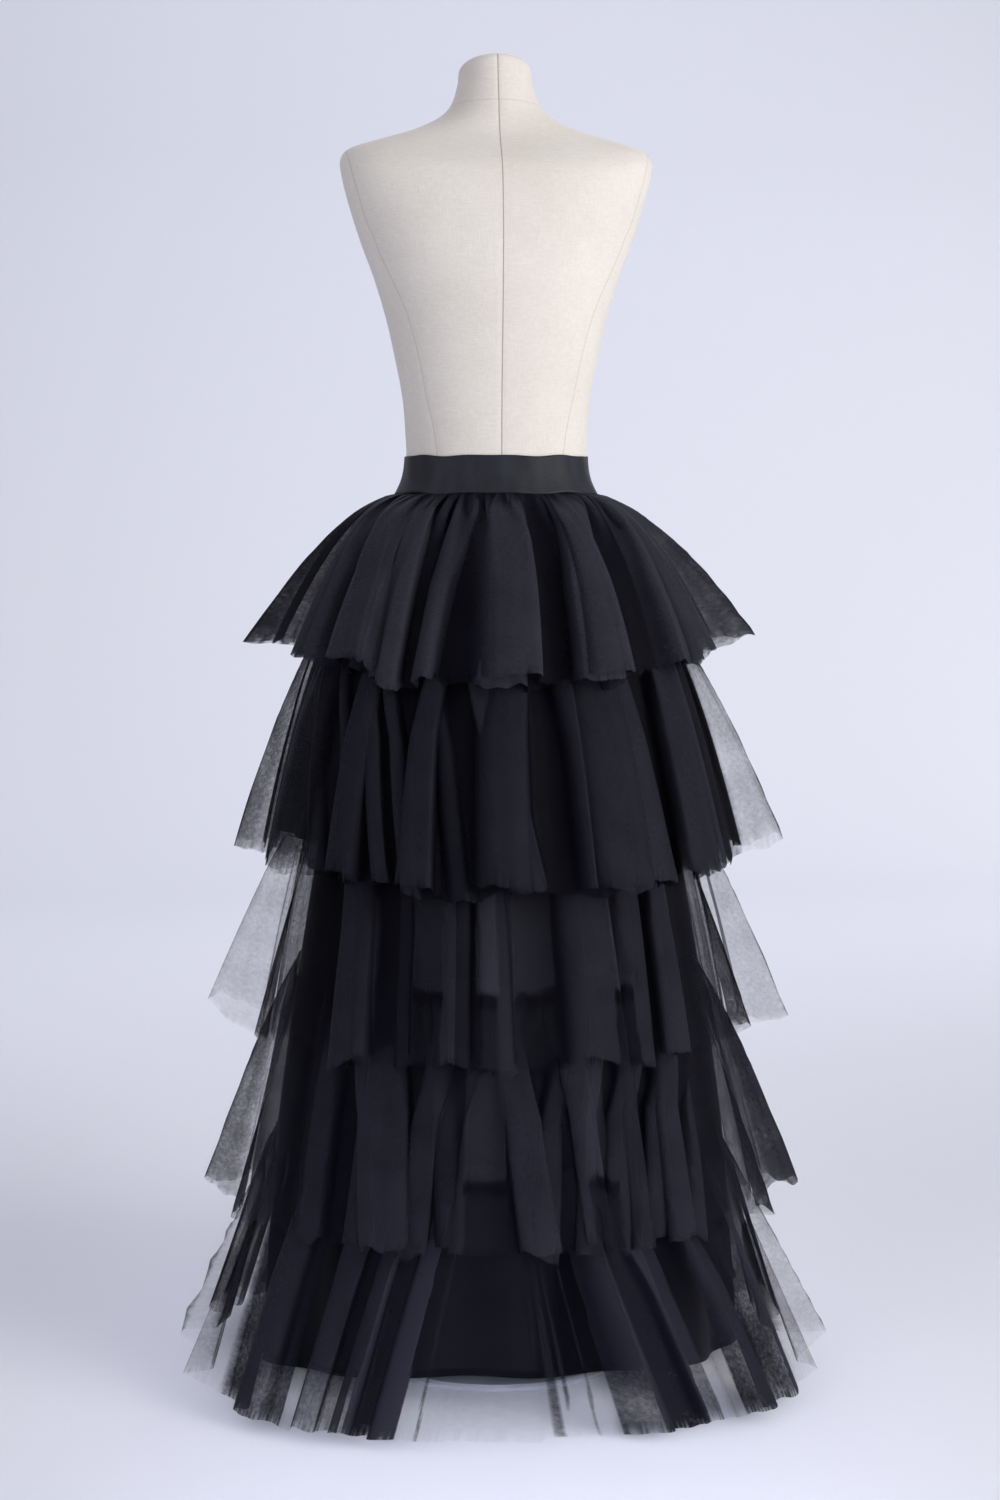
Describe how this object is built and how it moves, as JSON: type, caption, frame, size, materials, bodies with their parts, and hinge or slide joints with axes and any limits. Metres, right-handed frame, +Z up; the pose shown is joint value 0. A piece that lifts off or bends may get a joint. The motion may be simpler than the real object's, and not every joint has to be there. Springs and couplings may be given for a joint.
{
  "type": "tulle skirt on a dress form",
  "caption": "Floor-length black tulle skirt of gathered tiers over a satin lining, with an elastic waistband, on an armless linen dress form that stands on a pole and round base.",
  "frame": {"origin": "middle of the round base's underside, on the floor", "axes": "+Z up along the pole; +Y towards the form's bust (the front of the skirt), -Y towards its back; X across the shoulders"},
  "size_m": [0.7766, 0.7224, 1.5534],
  "materials": {
    "black_elastic": "ribbed woven elastic with a soft sheen",
    "black_tulle": "fine matt nylon net",
    "black_satin": "smooth satin with a low sheen",
    "cream_linen": "matt plain-woven linen",
    "white_enamel": "satin enamel"
  },
  "bodies": {
    "root": {"waistband": "black_elastic", "tier_1": "black_tulle", "tier_2": "black_tulle", "tier_3": "black_tulle", "tier_4": "black_tulle", "tier_5": "black_tulle", "under_flounce": "black_satin", "lining": "black_satin", "form_torso": "cream_linen", "stand_pole": "white_enamel", "stand_base": "white_enamel"}
  },
  "joints": []
}
